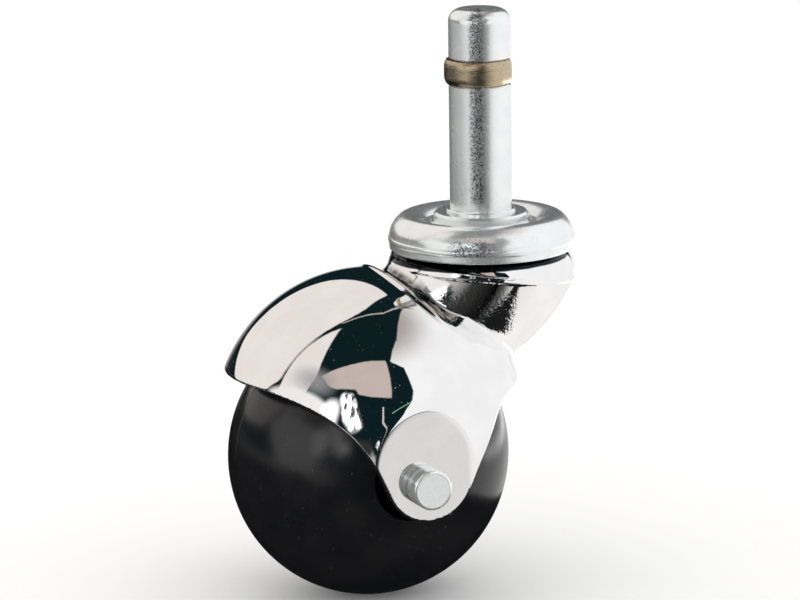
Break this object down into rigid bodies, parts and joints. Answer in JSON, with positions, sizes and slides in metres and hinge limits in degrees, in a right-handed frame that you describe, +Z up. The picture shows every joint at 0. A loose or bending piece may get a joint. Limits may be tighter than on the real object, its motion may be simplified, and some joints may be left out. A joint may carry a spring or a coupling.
{
  "type": "hooded ball caster",
  "caption": "Swivelling ball caster for a chair leg: chromed hood and horn, black ball wheel, plated grip-ring stem.",
  "frame": {"origin": "on the stem axis, at the top face of the mounting flange, where the leg's socket rests", "axes": "+Z up along the stem; the wheel trails towards -X; the axle lies along Y"},
  "size_m": [0.0645, 0.0614, 0.1042],
  "materials": {
    "zinc_plated_steel": "satin bright zinc plate",
    "bronze_spring_steel": "satin, brushed round",
    "bearing_steel": "polished",
    "chrome_plate": "mirror",
    "core_plastic": "moulded",
    "black_tread": "semi-gloss"
  },
  "bodies": {
    "stem": {"stem": "zinc_plated_steel", "cap_disc": "zinc_plated_steel", "lower_race_cup": "zinc_plated_steel", "rivet_washer": "zinc_plated_steel"},
    "grip_ring": {"grip_ring": "bronze_spring_steel"},
    "upper_balls": {"upper_bearing_balls": "bearing_steel"},
    "lower_balls": {"lower_bearing_balls": "bearing_steel"},
    "horn": {"horn": "chrome_plate", "upper_race_ring": "bearing_steel", "under_race_ring": "bearing_steel", "axle": "zinc_plated_steel"},
    "near_washer": {"thrust_washer_near": "zinc_plated_steel"},
    "far_washer": {"thrust_washer_far": "zinc_plated_steel"},
    "wheel": {"wheel_core": "core_plastic", "wheel_bushing": "bearing_steel", "wheel_tread": "black_tread"}
  },
  "joints": [
    {"name": "swivel", "type": "hinge", "parent": "stem", "child": "horn", "pos_m": [0, 0, 0], "axis": [0, 0, 1], "continuous": true},
    {"name": "wheel_spin", "type": "hinge", "parent": "horn", "child": "wheel", "pos_m": [-0.0223, 0, -0.0423], "axis": [0, 1, 0], "continuous": true},
    {"name": "near_washer_turn", "type": "hinge", "parent": "horn", "child": "near_washer", "pos_m": [-0.0223, 0, -0.0423], "axis": [0, 1, 0], "continuous": true},
    {"name": "far_washer_turn", "type": "hinge", "parent": "horn", "child": "far_washer", "pos_m": [-0.0223, 0, -0.0423], "axis": [0, 1, 0], "continuous": true},
    {"name": "grip_ring_turn", "type": "hinge", "parent": "stem", "child": "grip_ring", "pos_m": [0, 0, 0.0253], "axis": [0, 0, 1], "continuous": true},
    {"name": "upper_ball_orbit", "type": "hinge", "parent": "stem", "child": "upper_balls", "pos_m": [0, 0, 0], "axis": [0, 0, 1], "continuous": true},
    {"name": "lower_ball_orbit", "type": "hinge", "parent": "stem", "child": "lower_balls", "pos_m": [0, 0, 0], "axis": [0, 0, 1], "continuous": true}
  ],
  "couplings": [
    {"joint": "upper_ball_orbit", "follows": "swivel", "ratio": 0.5},
    {"joint": "lower_ball_orbit", "follows": "swivel", "ratio": 0.5}
  ]
}
